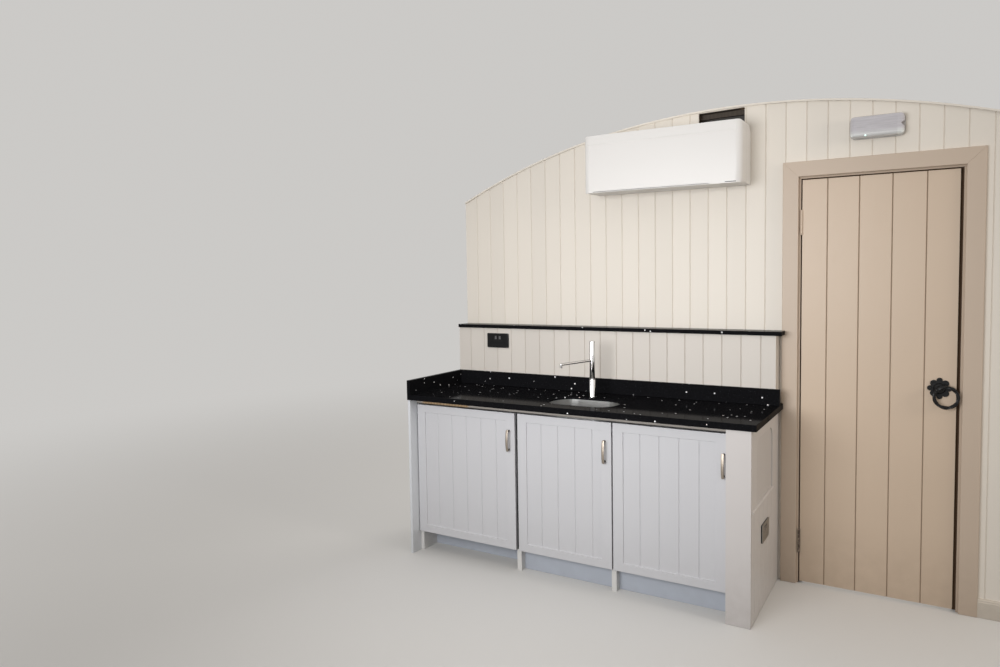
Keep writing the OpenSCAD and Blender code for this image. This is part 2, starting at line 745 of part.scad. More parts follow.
module light_base() color("#C9CBC9") place()
    translate([light_x + light_w / 2, 0, light_z + light_h / 2]) rotate([90, 0, 0])
        linear_extrude(light_base_d) rounded(light_w, light_h, light_r);

// The emergency light's rounded body, shrunk by inset.
module light_block(inset) intersection() {
    translate([light_x + light_w / 2, -light_base_d, light_z + light_h / 2]) rotate([90, 0, 0])
        linear_extrude(light_d - light_base_d - inset)
            rounded(light_w - 6 - 2 * inset, light_h - 6 - 2 * inset, light_r - 3 - inset);
    translate([light_x + light_w / 2, 0, light_z]) linear_extrude(light_h)
        rounded(light_w - 6 - 2 * inset, 2 * (light_d - inset), 20 - inset);
    translate([light_x, 0, light_z + light_h / 2]) rotate([90, 0, 90]) linear_extrude(light_w)
        rounded(2 * (light_d - inset), light_h - 6 - 2 * inset, 16 - inset);
}

// The wedge let into the light's right end for its catch, grown by g.
module catch_notch(g) translate([light_x + light_w, eps, light_z + light_h / 2]) rotate([90, 0, 0])
    linear_extrude(light_d + 2 * eps) polygon([[-notch_l - 2 * g, 0], [0, -notch_h / 2 - g], [eps, 0],
        [0, notch_h / 2 + g]]);

module light_diffuser() color("#DDE0DD") place() difference() {
    light_block(0);
    catch_notch(0);
    difference() {
        translate([0, eps, 0]) light_block(light_t);
        catch_notch(light_t);
    }
}

wall_frame();
wall_boards_left();
wall_boards_over_door();
wall_boards_right();
arch_trim();
skirting();
side_jambs();
head_jamb();
side_architraves();
head_architraves();
shelf_boxing();
boxing_socket();
stone_shelf();
worktop();
back_upstand();
side_upstand();
sink_bowl();
sink_waste();
tap_body();
tap_spout();
cabinet_sides();
cabinet_bottoms();
cabinet_backs();
cabinet_fascia();
plinths();
left_scribe();
end_post();
end_panel();
socket_plate();
left_cupboard_door();
middle_cupboard_door();
right_cupboard_door();
left_cupboard_handle();
middle_cupboard_handle();
right_cupboard_handle();
door_boards();
door_ledges();
frame_hinge_leaves();
door_hinge_leaves();
ring_rose();
ring_handle();
ac_housing();
ac_front_cover();
ac_louvre();
light_base();
light_diffuser();
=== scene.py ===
import json
import math

import bmesh
import bpy
from mathutils import Matrix, Vector


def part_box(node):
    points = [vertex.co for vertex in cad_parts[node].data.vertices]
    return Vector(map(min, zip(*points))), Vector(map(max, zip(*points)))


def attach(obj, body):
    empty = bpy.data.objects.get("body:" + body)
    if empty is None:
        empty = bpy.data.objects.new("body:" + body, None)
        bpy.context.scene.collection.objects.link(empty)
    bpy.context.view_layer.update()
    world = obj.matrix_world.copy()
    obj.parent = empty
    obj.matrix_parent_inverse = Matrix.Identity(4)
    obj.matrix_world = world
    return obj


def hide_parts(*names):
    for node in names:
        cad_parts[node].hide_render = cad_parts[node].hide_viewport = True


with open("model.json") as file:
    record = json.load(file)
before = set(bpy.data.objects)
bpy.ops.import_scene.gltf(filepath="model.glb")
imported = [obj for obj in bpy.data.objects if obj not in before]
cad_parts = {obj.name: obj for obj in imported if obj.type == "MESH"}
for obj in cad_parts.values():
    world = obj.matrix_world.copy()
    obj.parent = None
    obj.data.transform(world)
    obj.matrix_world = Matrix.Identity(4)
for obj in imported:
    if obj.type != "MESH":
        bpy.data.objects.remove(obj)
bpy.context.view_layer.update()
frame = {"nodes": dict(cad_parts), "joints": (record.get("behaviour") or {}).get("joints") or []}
nodes = frame["nodes"]
hinges = {joint["name"]: joint for joint in frame["joints"]}

# The viewpoint: a wide lens at standing height in the room, turned to the left towards the
# kitchenette and tipped slightly down. Its place was solved from the edges of the worktop,
# the door and the boards.
yaw, pitch, roll = 0.54349, 0.058114, -0.015373
view_x, view_y, view_z = 0.89212, -3.89594, 1.55353
out = Vector((-math.sin(yaw) * math.cos(pitch), math.cos(yaw) * math.cos(pitch), -math.sin(pitch)))
level = Vector((math.cos(yaw), math.sin(yaw), 0.0))
upright = level.cross(out)
right = math.cos(roll) * level + math.sin(roll) * upright
up = math.cos(roll) * upright - math.sin(roll) * level
camera = bpy.data.objects.new("camera", bpy.data.cameras.new("camera"))
bpy.context.scene.collection.objects.link(camera)
camera.matrix_world = Matrix((
    (right.x, up.x, -out.x, view_x),
    (right.y, up.y, -out.y, view_y),
    (right.z, up.z, -out.z, view_z),
    (0, 0, 0, 1)))
camera.data.sensor_width = 36.0
camera.data.lens = 26.565
camera.data.shift_x = 0.00293
camera.data.shift_y = -0.01495
camera.data.clip_start = 0.01
bpy.context.scene.camera = camera
bpy.context.scene.view_settings.view_transform = "Standard"

# Daylight: a broad soft light from the room's windows, a smaller warm one far to the right, one
# on the outer side of the wall, and the even glow that a pale room throws back. The viewer, and
# any mirror-like face, sees the room as one plain pale tone.
backdrop_tone = (0.60, 0.588, 0.57, 1)
room = bpy.data.worlds.new("room")
bpy.context.scene.world = room
room.use_nodes = True
room_nodes = room.node_tree.nodes
room_glow = room_nodes["Background"]
room_glow.inputs["Color"].default_value = (1.0, 0.97, 0.94, 1)
room_glow.inputs["Strength"].default_value = 0.55
room_seen = room_nodes.new("ShaderNodeBackground")
room_seen.inputs["Color"].default_value = backdrop_tone


def seen_directly(tree):
    """1 for the viewer's rays and for those by way of a glossy or clear face."""
    path = tree.nodes.new("ShaderNodeLightPath")
    both = tree.nodes.new("ShaderNodeMath")
    tree.links.new(path.outputs["Is Camera Ray"], both.inputs[0])
    tree.links.new(path.outputs["Is Glossy Ray"], both.inputs[1])
    every = tree.nodes.new("ShaderNodeMath")
    every.use_clamp = True
    tree.links.new(both.outputs[0], every.inputs[0])
    tree.links.new(path.outputs["Is Transmission Ray"], every.inputs[1])
    return every.outputs[0]


room_gleam = room_nodes.new("ShaderNodeMapRange")
room_gleam.inputs["To Min"].default_value = 1.0
room_gleam.inputs["To Max"].default_value = 1.4
room_path = room_nodes.new("ShaderNodeLightPath")
room.node_tree.links.new(room_path.outputs["Is Glossy Ray"], room_gleam.inputs[0])
room.node_tree.links.new(room_gleam.outputs[0], room_seen.inputs["Strength"])
room_mix = room_nodes.new("ShaderNodeMixShader")
room.node_tree.links.new(seen_directly(room.node_tree), room_mix.inputs[0])
room.node_tree.links.new(room_glow.outputs[0], room_mix.inputs[1])
room.node_tree.links.new(room_seen.outputs[0], room_mix.inputs[2])
room.node_tree.links.new(room_mix.outputs[0], room_nodes["World Output"].inputs[0])


def window(name, place, aim, size, power, color, mirrored, spread=180):
    """A soft rectangular lamp that the viewer doesn't see. mirrored says if glossy faces do."""
    light = bpy.data.lights.new(name, "AREA")
    light.shape = "RECTANGLE"
    light.size, light.size_y = size
    light.energy = power
    light.color = color
    light.spread = math.radians(spread)
    o = bpy.data.objects.new(name, light)
    bpy.context.scene.collection.objects.link(o)
    o.location = place
    o.rotation_euler = (Vector(aim) - Vector(place)).to_track_quat("-Z", "Y").to_euler()
    o.visible_camera = False
    o.visible_glossy = mirrored


window("window_behind", place=(-0.75, -3.7, 1.7), aim=(-0.55, 0.0, 1.4), size=(2.0, 1.3), power=25,
       color=(0.98, 0.985, 1.0), mirrored=True, spread=92)
window("window_outside", place=(0.8, 4.6, 2.6), aim=(0.0, 0.0, 1.0), size=(2.4, 1.6), power=90,
       color=(1.0, 0.98, 0.95), mirrored=False)
window("window_right", place=(5.0, -1.3, 2.5), aim=(0.2, -0.2, 1.4), size=(1.2, 1.0), power=50,
       color=(1.0, 0.92, 0.82), mirrored=False)

# The plain pale floor that the piece stands on, which belongs to no part. It looks pale but
# throws little light back onto the piece, and it fades into the backdrop's tone far off.
floor_paint = bpy.data.materials.new("floor_paint")
floor_paint.use_nodes = True
floor_nodes = floor_paint.node_tree.nodes
floor_links = floor_paint.node_tree.links
floor_seen = seen_directly(floor_paint.node_tree)
floor_blend = floor_nodes.new("ShaderNodeMix")
floor_blend.data_type = "RGBA"
floor_blend.inputs["A"].default_value = (0.17, 0.16, 0.145, 1)
floor_blend.inputs["B"].default_value = (0.72, 0.71, 0.69, 1)
floor_links.new(floor_seen, floor_blend.inputs["Factor"])
floor_links.new(floor_blend.outputs["Result"], floor_nodes["Principled BSDF"].inputs["Base Color"])
floor_nodes["Principled BSDF"].inputs["Roughness"].default_value = 0.9
floor_far = floor_nodes.new("ShaderNodeEmission")
floor_far.inputs["Color"].default_value = backdrop_tone
floor_away = floor_nodes.new("ShaderNodeVectorMath")
floor_away.operation = "LENGTH"
floor_links.new(floor_nodes.new("ShaderNodeTexCoord").outputs["Object"], floor_away.inputs[0])
floor_fade = floor_nodes.new("ShaderNodeMapRange")
floor_fade.interpolation_type = "SMOOTHSTEP"
floor_fade.inputs["From Min"].default_value = 2.0
floor_fade.inputs["From Max"].default_value = 8.0
floor_links.new(floor_away.outputs["Value"], floor_fade.inputs["Value"])
floor_share = floor_nodes.new("ShaderNodeMath")
floor_share.operation = "MULTIPLY"
floor_links.new(floor_fade.outputs[0], floor_share.inputs[0])
floor_links.new(floor_seen, floor_share.inputs[1])
floor_mix = floor_nodes.new("ShaderNodeMixShader")
floor_links.new(floor_share.outputs[0], floor_mix.inputs[0])
floor_links.new(floor_nodes["Principled BSDF"].outputs[0], floor_mix.inputs[1])
floor_links.new(floor_far.outputs[0], floor_mix.inputs[2])
floor_links.new(floor_mix.outputs[0], floor_nodes["Material Output"].inputs[0])
floor_reach = 30.0
floor_drop = 0.0008
bm = bmesh.new()
bmesh.ops.create_circle(bm, cap_ends=True, segments=96, radius=floor_reach)
mesh = bpy.data.meshes.new("floor")
bm.to_mesh(mesh)
bm.free()
floor = bpy.data.objects.new("floor", mesh)
floor.location.z = -floor_drop
bpy.context.scene.collection.objects.link(floor)
mesh.materials.append(floor_paint)


# Wall boarding: tongued and grooved softwood boards with V joints, nailed upright to the
# studs on both sides of the wall and brushed with cream satin paint.
def node(material, kind, inputs=(), **settings):
    """Adds a shader node. inputs gives its sockets values, or the sockets they come from."""
    made = material.node_tree.nodes.new("ShaderNode" + kind)
    for key, value in settings.items():
        setattr(made, key, value)
    for key, value in dict(inputs).items():
        if isinstance(value, bpy.types.NodeSocket):
            material.node_tree.links.new(value, made.inputs[key])
        else:
            made.inputs[key].default_value = value
    return made


def finish(name, rough, **sockets):
    """A new material with its own roughness and any other values set on the shader."""
    material = bpy.data.materials.new(name)
    material.use_nodes = True
    shader = material.node_tree.nodes["Principled BSDF"]
    shader.inputs["Roughness"].default_value = rough
    for key, value in sockets.items():
        shader.inputs[key.replace("_", " ")].default_value = value
    return material


def feed(material, socket, value):
    material.node_tree.links.new(value, material.node_tree.nodes["Principled BSDF"].inputs[socket])


def mixed(material, factor, a, b, blend="MIX"):
    a, b = [(*c, 1) if isinstance(c, tuple) else c for c in (a, b)]
    made = node(material, "Mix", data_type="RGBA", blend_type=blend)
    for key, value in (("Factor", factor), ("A", a), ("B", b)):
        if isinstance(value, bpy.types.NodeSocket):
            material.node_tree.links.new(value, made.inputs[key])
        else:
            made.inputs[key].default_value = value
    return made.outputs["Result"]


def ranged(material, value, low, high, to_low, to_high):
    return node(material, "MapRange", {"Value": value, "From Min": low, "From Max": high,
                                       "To Min": to_low, "To Max": to_high}).outputs[0]


def sums(material, operation, a, b):
    return node(material, "Math", {0: a, 1: b}, operation=operation).outputs[0]


def between(material, value, low, high, soft):
    """1 where value lies between low and high, fading to 0 over soft on either side."""
    rise = ranged(material, value, low - soft, low, 0.0, 1.0)
    fall = ranged(material, value, high, high + soft, 1.0, 0.0)
    return sums(material, "MULTIPLY", rise, fall)


def noise(material, scale, stretch=(1, 1, 1), detail=4.0):
    place = node(material, "Mapping", {"Vector": node(material, "TexCoord").outputs["Object"],
                                       "Scale": stretch})
    return node(material, "TexNoise", {"Vector": place.outputs[0], "Scale": scale,
                                       "Detail": detail}).outputs["Fac"]


def position(material):
    split = node(material, "SeparateXYZ", {0: node(material, "TexCoord").outputs["Object"]})
    return split.outputs["X"], split.outputs["Y"], split.outputs["Z"]


def relief(material, height, depth, strength=0.5):
    bump = node(material, "Bump", {"Height": height, "Distance": depth, "Strength": strength})
    feed(material, "Normal", bump.outputs[0])


def boarded(material, color, first, pitch, amount=0.03):
    """Each board between the joints takes the paint a little differently."""
    x = position(material)[0]
    along = sums(material, "DIVIDE", sums(material, "SUBTRACT", x, first), pitch)
    count = sums(material, "FLOOR", along, 0.0)
    chance = node(material, "TexWhiteNoise", {"W": count}, noise_dimensions="1D").outputs["Value"]
    shade = ranged(material, chance, 0.0, 1.0, 1.0 - amount, 1.0 + amount / 2)
    return mixed(material, 1.0, color, shade, "MULTIPLY")


def jointed(material, color, depth, joint_color, amount, half_width=0.003):
    """Paint is thin and dirt gathers in the joints, whose bottoms lie at depth from y = 0."""
    y = sums(material, "ABSOLUTE", position(material)[1], 0.0)
    off = sums(material, "ABSOLUTE", sums(material, "SUBTRACT", y, depth), 0.0)
    return mixed(material, ranged(material, off, 0.0, half_width, amount, 0.0), color, joint_color)


def paint(name, color, rough, upright=True, wear=0.02, layers=(), floor_darkening=0.0, gloss=0.5):
    """Brushed paint: faint strokes, cloudy tone, and patchy darkening towards the floor."""
    material = finish(name, rough, Specular_IOR_Level=gloss)
    stroke_stretch = (60, 60, 4) if upright else (4, 60, 60)
    strokes = noise(material, scale=6.0, stretch=stroke_stretch, detail=6.0)
    cloud = ranged(material, noise(material, scale=2.5), 0.0, 1.0, 1.0 - wear, 1.0 + wear)
    shade = mixed(material, 1.0, color, cloud, "MULTIPLY")
    for layer, *values in layers:
        shade = layer(material, shade, *values)
    # The lowest part of each face turns patchily darker towards the floor.
    if floor_darkening:
        floor_darkening_top = 0.35
        floor_darkened_color = (color[0] * 0.45, color[1] * 0.4, color[2] * 0.35)
        low = ranged(material, position(material)[2], 0.0, floor_darkening_top, floor_darkening, 0.0)
        patches = ranged(material, noise(material, scale=18.0), 0.3, 0.7, 0.4, 1.0)
        shade = mixed(material, sums(material, "MULTIPLY", low, patches), shade, floor_darkened_color)
    feed(material, "Base Color", shade)
    feed(material, "Roughness", ranged(material, strokes, 0.0, 1.0, rough - 0.08, rough + 0.1))
    relief(material, strokes, 0.0004, 0.12)
    return material


def coat(material, *names, arris=0.0008):
    """Gives CAD nodes a material and eases their sharp edges by arris."""
    same_point = 0.00002
    for name in names:
        o = nodes[name]
        o.data.materials.clear()
        o.data.materials.append(material)
        if arris:
            weld = o.modifiers.new("weld", "WELD")
            weld.merge_threshold = same_point
            edge = o.modifiers.new("arris", "BEVEL")
            edge.width = arris
            edge.segments = 2
            edge.limit_method = "ANGLE"
            edge.angle_limit = math.radians(40)
            edge.harden_normals = True


cream = (0.775, 0.72, 0.64)
joint_dirt = (0.42, 0.35, 0.28)
# Painted shade: the near-black that the board backs take inside the hollow wall.
hollow_shade_dark = (0.03, 0.024, 0.019)
board_thickness = 0.012
joint_depth = 0.0035
first_joint = -1.5672
board_pitch = 0.0944
wall_face = -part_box("wall_boards_left")[0][1]
board_back = wall_face - board_thickness


def bare_back_shaded(material, color):
    """The backs of the boards are bare timber, painted near-black as painted shade in the hollow of
    the wall.
    """
    y = sums(material, "ABSOLUTE", position(material)[1], 0.0)
    inside = ranged(material, y, board_back, board_back + 0.001, 1.0, 0.0)
    return mixed(material, inside, color, hollow_shade_dark)


board_layers = [(boarded, first_joint, board_pitch),
                (jointed, wall_face - joint_depth, joint_dirt, 0.12), (bare_back_shaded,)]
coat(paint("wall_paint", cream, 0.5, layers=board_layers), "wall_boards_left",
     "wall_boards_over_door", "wall_boards_right", arris=0)

# Arch bead and skirting: a round-edged bead bent along the arch and a moulded skirting board, pinned
# to the boards and painted with them; the skirting's cream is darker, as painted shade near the floor.
skirting_shaded_cream = (0.62, 0.56, 0.48)
coat(paint("trim_paint", cream, 0.48, upright=False), "arch_trim")
coat(paint("skirting_paint", skirting_shaded_cream, 0.45, upright=False, floor_darkening=0.3), "skirting")

# Wall frame: planed softwood sole, studs, lintel and arched head rib, nailed together. The rib is
# notched behind the cut-out over the air conditioner, and the timber there is painted near-black as
# painted shade in the cavity.
pine_light = (0.66, 0.47, 0.28)
pine_dark = (0.5, 0.32, 0.17)


def pine_grain(material):
    """Softwood's colour, of wavy rings crossed by fine fibres, and the fibres for a relief."""
    drawn_out = node(material, "Mapping", {
        "Vector": node(material, "TexCoord").outputs["Object"], "Scale": (1, 1, 0.1)}).outputs[0]
    rings = node(material, "TexWave", {
        "Vector": drawn_out, "Scale": 16.0, "Distortion": 6.0, "Detail": 3.0, "Detail Scale": 1.2})
    fibres = noise(material, scale=9.0, stretch=(50, 50, 3), detail=5.0)
    ringed = mixed(material, rings.outputs["Fac"], pine_dark, pine_light)
    fibre_shade = ranged(material, fibres, 0.2, 0.8, 0.85, 1.08)
    return mixed(material, 1.0, ringed, fibre_shade, "MULTIPLY"), fibres


unit_low, unit_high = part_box("ac_front_cover")
# Painted shade: the timber seen through the cut-out over the air conditioner is painted near-black.
cut_from_unit_end = 0.264
cut_width = 0.231
cut_shade_margin = 0.004
cut_shade_below_unit_top = 0.06
cut_shade_above_unit_top = 0.0915
cut_shade_past_boards = 0.002
cut_shade_strength = 0.93
cut_left = unit_high[0] - cut_from_unit_end
cut_right = cut_left + cut_width
timber = finish("timber", 0.65)
grain, fibres = pine_grain(timber)
x, y, z = position(timber)
beside = between(timber, x, cut_left - cut_shade_margin, cut_right + cut_shade_margin, 0.002)
above = between(timber, z, unit_high[2] - cut_shade_below_unit_top, unit_high[2] + cut_shade_above_unit_top,
                0.001)
behind = between(timber, y, -board_back - cut_shade_past_boards, board_back + cut_shade_past_boards, 0.001)
cut_shade = sums(timber, "MULTIPLY", sums(timber, "MULTIPLY", beside, above), behind)
feed(timber, "Base Color", mixed(timber, sums(timber, "MULTIPLY", cut_shade, cut_shade_strength), grain,
                                 (0.02, 0.016, 0.013)))
relief(timber, fibres, 0.0003)
coat(timber, "wall_frame", arris=0)

# Doorway lining and architraves: softwood jambs with a planted stop, and flat mitred
# architraves on both faces, pinned on and brushed with taupe eggshell paint.
taupe = (0.545, 0.44, 0.345)
# Painted shade for the gap round the leaf.
rebate_shade_brown = (0.1, 0.055, 0.028)
rebate_front = -wall_face + 0.0008
rebate_back = -wall_face + 0.0245


def shaded_rebates(material, color):
    """Painted shade: the rebates that the leaf closes into are painted dark brown, so that the gap
    round it looks dark.
    """
    rebate = between(material, position(material)[1], rebate_front, rebate_back, 0.0006)
    return mixed(material, sums(material, "MULTIPLY", rebate, 0.94), color, rebate_shade_brown)


lining_paint = paint("lining_paint", taupe, 0.6, layers=[(shaded_rebates,)], floor_darkening=0.25, gloss=0.1)
coat(lining_paint, "side_jambs", "head_jamb")
coat(paint("architrave_paint", taupe, 0.45, floor_darkening=0.25), "side_architraves")
coat(paint("head_paint", taupe, 0.45, upright=False), "head_architraves")

# Entrance door: a leaf of wide V-jointed boards, ledged and braced behind, nailed through and
# painted with the frame.
door_taupe = (0.605, 0.478, 0.36)
door_joint_brown = (0.17, 0.12, 0.085)
door_joints = [(jointed, wall_face - joint_depth, door_joint_brown, 0.9)]
coat(paint("door_paint", door_taupe, 0.42, wear=0.03, layers=door_joints, floor_darkening=0.3), "door_boards")
coat(paint("ledge_paint", door_taupe, 0.45, upright=False), "door_ledges")


# Butt hinges: steel leaves let into the leaf's edge and the lining, brushed over with the paint, which
# turns patchily dark brown on the lower pair. Countersunk screws hold them.
def piece(name, bm, material, body, smooth=40):
    """Makes an object from a mesh, with edges steeper than smooth degrees kept sharp."""
    bmesh.ops.recalc_face_normals(bm, faces=bm.faces)
    mesh = bpy.data.meshes.new(name)
    bm.to_mesh(mesh)
    bm.free()
    for face in mesh.polygons:
        face.use_smooth = True
    mesh.set_sharp_from_angle(angle=math.radians(smooth))
    mesh.materials.append(material)
    o = bpy.data.objects.new(name, mesh)
    bpy.context.scene.collection.objects.link(o)
    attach(o, body)
    return o


def circle(radius, steps=20, start=0.0, end=360.0):
    whole = end - start >= 360.0
    count = steps if whole else steps + 1
    angles = [math.radians(start + (end - start) * i / steps) for i in range(count)]
    return [(radius * math.cos(a), radius * math.sin(a)) for a in angles]


def prism(bm, outline, low, high, place):
    """A closed bar of one outline, from w = low to w = high; place turns (u, v, w) into a point."""
    ends = [[bm.verts.new(place(u, v, w)) for u, v in outline] for w in (low, high)]
    bm.faces.new(reversed(ends[0]))
    bm.faces.new(ends[1])
    for i in range(len(outline)):
        j = (i + 1) % len(outline)
        bm.faces.new((ends[0][i], ends[0][j], ends[1][j], ends[1][i]))


def turned(bm, outline, place, steps=24):
    """A turned form: outline is a list of (radius, height), its ends on the axis or open."""
    rings = []
    for radius, height in outline:
        if radius == 0:
            rings.append([bm.verts.new(place(0, 0, height))])
        else:
            rings.append([bm.verts.new(place(u, v, height)) for u, v in circle(radius, steps)])
    for a, b in zip(rings, rings[1:]):
        for i in range(steps):
            j = (i + 1) % steps
            loop = [a[i % len(a)], a[j % len(a)], b[j % len(b)], b[i % len(b)]]
            bm.faces.new(list(dict.fromkeys(loop)))


def slotted_screw(bm, radius, height, place, angle=25.0):
    """A low cheese head with a slot across it, turned by angle."""
    slot_half_width = radius * 0.16
    slot_floor = height * 0.45
    start = math.degrees(math.asin(slot_half_width / radius))
    prism(bm, circle(radius, 20), 0.0, slot_floor, place)
    for turn in (0, 180):
        spin = math.radians(angle + turn)
        half_head = [(u * math.cos(spin) - v * math.sin(spin), u * math.sin(spin) + v * math.cos(spin))
                     for u, v in circle(radius, 10, start, 180 - start)]
        prism(bm, half_head, slot_floor, height, place)


hinge_taupe = (0.62, 0.5, 0.39)
low_pair_brown = (0.07, 0.048, 0.035)
hinge_paint = finish("hinge_paint", 0.42)
# The hinge paint turns patchily dark brown towards the bottom of the door.
low_down = ranged(hinge_paint, position(hinge_paint)[2], 0.4, 0.9, 1.0, 0.0)
patches = ranged(hinge_paint, noise(hinge_paint, scale=60.0), 0.35, 0.5, 0.6, 1.0)
low_pair_darkening = sums(hinge_paint, "MULTIPLY", low_down, patches)
feed(hinge_paint, "Base Color", mixed(hinge_paint, low_pair_darkening, hinge_taupe, low_pair_brown))
relief(hinge_paint, noise(hinge_paint, scale=140.0), 0.0002)
coat(hinge_paint, "frame_hinge_leaves", "door_hinge_leaves", arris=0.0003)
pin_x, pin_y = hinges["entrance_door_hinge"]["pos_m"][:2]
hinge_low, hinge_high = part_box("door_hinge_leaves")
hinge_height = 0.12
leaf_front = pin_y + 0.005
leaf_face = 0.0006
screw_radius = 0.0038
screw_stands = 0.0004
screw_places = ((-0.042, 0.009), (-0.014, 0.015), (0.014, 0.009), (0.042, 0.015))
for name, body, toward in (("frame_hinge_screws", "wall_and_units", 1),
                           ("door_hinge_screws", "entrance_door", -1)):
    bm = bmesh.new()
    for middle in (hinge_low[2] + hinge_height / 2, hinge_high[2] - hinge_height / 2):
        for up_by, back in screw_places:
            slotted_screw(bm, screw_radius, screw_stands, lambda u, v, w: (
                pin_x + toward * (w - leaf_face), leaf_front + back + u, middle + up_by + v))
    piece(name, bm, hinge_paint, body)

# Ring handle: black waxed iron. A scalloped rose is screwed to the boards, and a ring of
# twisted square bar turns the spindle through its boss to lift the latch.
iron = finish("iron", 0.3, Specular_IOR_Level=0.22)
hammered = noise(iron, scale=170.0, detail=3.0)
feed(iron, "Base Color", mixed(iron, hammered, (0.004, 0.004, 0.0042), (0.014, 0.014, 0.015)))
feed(iron, "Roughness", ranged(iron, noise(iron, scale=60.0), 0.3, 0.7, 0.22, 0.4))
relief(iron, hammered, 0.0006, 0.6)
coat(iron, "ring_rose", arris=0.0006)
spindle_x, spindle_y, spindle_z = hinges["ring_handle_turn"]["pos_m"]
ring_low, ring_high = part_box("ring_handle")
ring_x = (ring_low[0] + ring_high[0]) / 2
ring_z = (ring_low[2] + ring_high[2]) / 2
bar = 0.0079
bar_flats = 0.16
ring_middle = (ring_high[0] - ring_low[0]) / 2 - bar
ring_y = ring_low[1] + bar
around, across, twists = 280, 24, 7
bm = bmesh.new()
loops = []
for i in range(around):
    a = 2 * math.pi * i / around
    loop = []
    for j in range(across):
        b = 2 * math.pi * j / across
        r = bar * (1 - bar_flats + bar_flats * math.cos(4 * b + twists * a))
        reach = ring_middle + r * math.cos(b)
        loop.append(bm.verts.new((ring_x + reach * math.cos(a), ring_y + r * math.sin(b),
                                  ring_z + reach * math.sin(a))))
    loops.append(loop)
for i in range(around):
    for j in range(across):
        a, b = loops[i], loops[(i + 1) % around]
        k = (j + 1) % across
        bm.faces.new((a[j], a[k], b[k], b[j]))
boss = [(0, -0.0045), (0.0115, -0.0045), (0.012, -0.006), (0.012, -0.016), (0.0098, -0.019),
        (0.0098, -0.023), (0.0112, -0.0255), (0.0112, -0.031), (0.009, -0.0345), (0.004, -0.0365),
        (0, -0.037)]
turned(bm, boss, lambda u, v, w: (spindle_x + u, spindle_y + w, spindle_z + v), 32)
ring = piece("twisted_ring", bm, iron, "ring")
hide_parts("ring_handle")
bm = bmesh.new()
screw_circle = 0.0385
screw_radius = 0.0042
screw_reach = 0.0052
for i in range(4):
    a = math.radians(90 * i)
    middle_x = spindle_x + screw_circle * math.cos(a)
    middle_z = spindle_z + screw_circle * math.sin(a)
    slotted_screw(bm, screw_radius, screw_reach,
                  lambda u, v, w: (middle_x + u, spindle_y - w, middle_z + v), 20 + 50 * i)
piece("rose_screws", bm, iron, "entrance_door")

# Boxing: a shallow boarded box that carries the stone shelf along the wall, made as the wall is
# and painted slightly greyer.
boxing_face = -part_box("shelf_boxing")[0][1]
boxing_cream = (0.66, 0.615, 0.56)
boxing_dirt = (0.38, 0.33, 0.27)
boxing_layers = [(boarded, first_joint, board_pitch),
                 (jointed, boxing_face - joint_depth, boxing_dirt, 0.3)]
coat(paint("boxing_paint", boxing_cream, 0.5, layers=boxing_layers), "shelf_boxing", arris=0)

# Stone: polished black granite with mica flecks. The worktop is notched round the sink and the
# architrave, with upstands bedded on it and a shelf on the boxing.
granite = finish("granite", 0.08, Specular_IOR_Level=0.003)


def flecks(scale, size, share):
    """Specks of one size: a share of the cells of a foam pattern hold one in their middle."""
    place = node(granite, "TexCoord").outputs["Object"]
    cells = node(granite, "TexVoronoi", {"Vector": place, "Scale": scale})
    small = sums(granite, "LESS_THAN", cells.outputs["Distance"], size)
    chance = node(granite, "SeparateColor", {0: cells.outputs["Color"]}).outputs["Red"]
    kept = sums(granite, "LESS_THAN", chance, share)
    return sums(granite, "MULTIPLY", small, kept)


grey_speck = (0.045, 0.047, 0.052)
mica_white = (0.88, 0.88, 0.9)
clouded = ranged(granite, noise(granite, scale=2.2), 0.36, 0.52, 0.0, 1.0)
ground = mixed(granite, noise(granite, scale=120.0), (0.0035, 0.0035, 0.004), (0.012, 0.012, 0.0135))
speckled = mixed(granite, flecks(scale=150.0, size=0.16, share=0.3), ground, grey_speck)
bright = sums(granite, "MULTIPLY", flecks(scale=30.0, size=0.13, share=0.45), clouded)
feed(granite, "Base Color", mixed(granite, bright, speckled, mica_white))
coat(granite, "worktop", "back_upstand", "side_upstand", "stone_shelf", arris=0.002)

# Sink: a pressed stainless bowl let into the worktop's underside, with a basket waste whose
# strainer lifts out.
steel = finish("brushed_steel", 0.3, Metallic=1.0)
brushed = noise(steel, scale=8.0, stretch=(4, 90, 90), detail=5.0)
feed(steel, "Base Color", mixed(steel, brushed, (0.56, 0.56, 0.555), (0.72, 0.72, 0.71)))
feed(steel, "Roughness", ranged(steel, brushed, 0.2, 0.8, 0.24, 0.38))
coat(steel, "sink_bowl", "sink_waste", arris=0)


def plate(name, outlines, thickness, place, material, body, edge=0.0004):
    """A flat plate with holes and eased edges, cut from a drawing of its outlines."""
    same_point = 0.000005
    drawing = bpy.data.curves.new(name, "CURVE")
    drawing.dimensions = "2D"
    drawing.fill_mode = "BOTH"
    drawing.extrude = thickness / 2 - edge
    drawing.bevel_depth = edge
    drawing.bevel_resolution = 1
    drawing.offset = -edge
    for outline in outlines:
        line = drawing.splines.new("POLY")
        line.points.add(len(outline) - 1)
        for point, (u, v) in zip(line.points, outline):
            point.co = (u, v, 0, 1)
        line.use_cyclic_u = True
    drawn = bpy.data.objects.new(name, drawing)
    bpy.context.scene.collection.objects.link(drawn)
    bpy.context.view_layer.update()
    depsgraph = bpy.context.evaluated_depsgraph_get()
    solid = bpy.data.meshes.new_from_object(drawn.evaluated_get(depsgraph))
    bpy.data.objects.remove(drawn)
    bm = bmesh.new()
    bm.from_mesh(solid)
    bmesh.ops.remove_doubles(bm, verts=bm.verts, dist=same_point)
    for vertex in bm.verts:
        u, v, w = vertex.co
        vertex.co = place(u, v, w)
    return piece(name, bm, material, body, 30)


